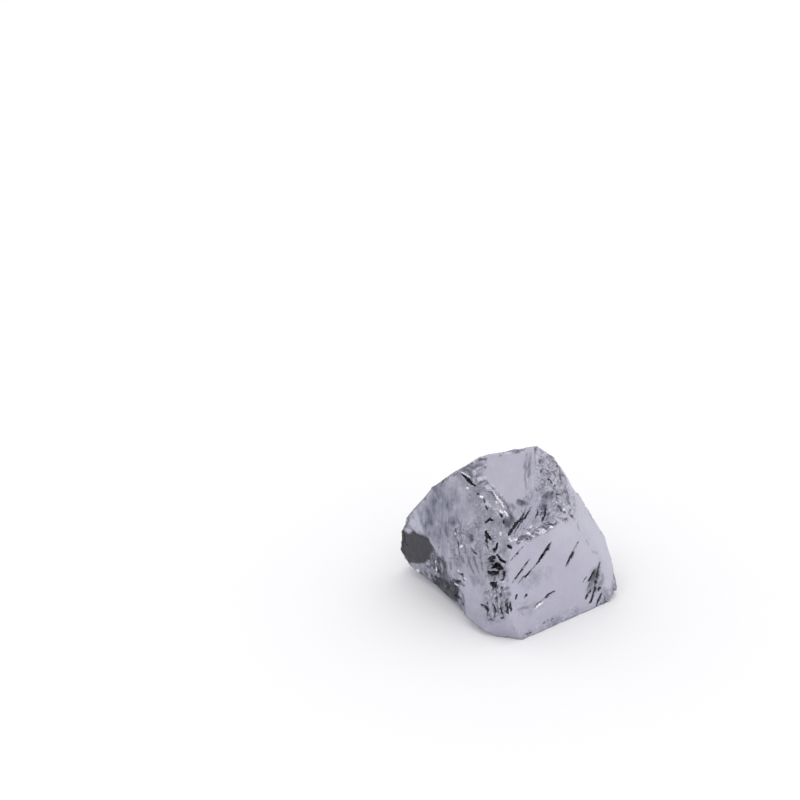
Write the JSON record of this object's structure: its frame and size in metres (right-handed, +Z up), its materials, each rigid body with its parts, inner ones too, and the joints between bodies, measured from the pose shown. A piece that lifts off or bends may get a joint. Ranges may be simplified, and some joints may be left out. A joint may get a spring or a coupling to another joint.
{
  "type": "raw terahertz stone",
  "caption": "Raw broken lump of bright grey terahertz stone (silicon): flat mirror-like fracture faces, a rough stepped hollow, dark slits and sharp nicked edges.",
  "frame": {"origin": "under the middle of the stone's box, on the flat broken foot that it stands on", "axes": "+Z up, the big front faces towards -Y, +X to the right as seen from the front"},
  "size_m": [0.0416, 0.0392, 0.0322],
  "materials": {
    "silicon": "bright, fractured, with a faint lavender cast"
  },
  "bodies": {
    "root": {"stone": "silicon"}
  },
  "joints": []
}
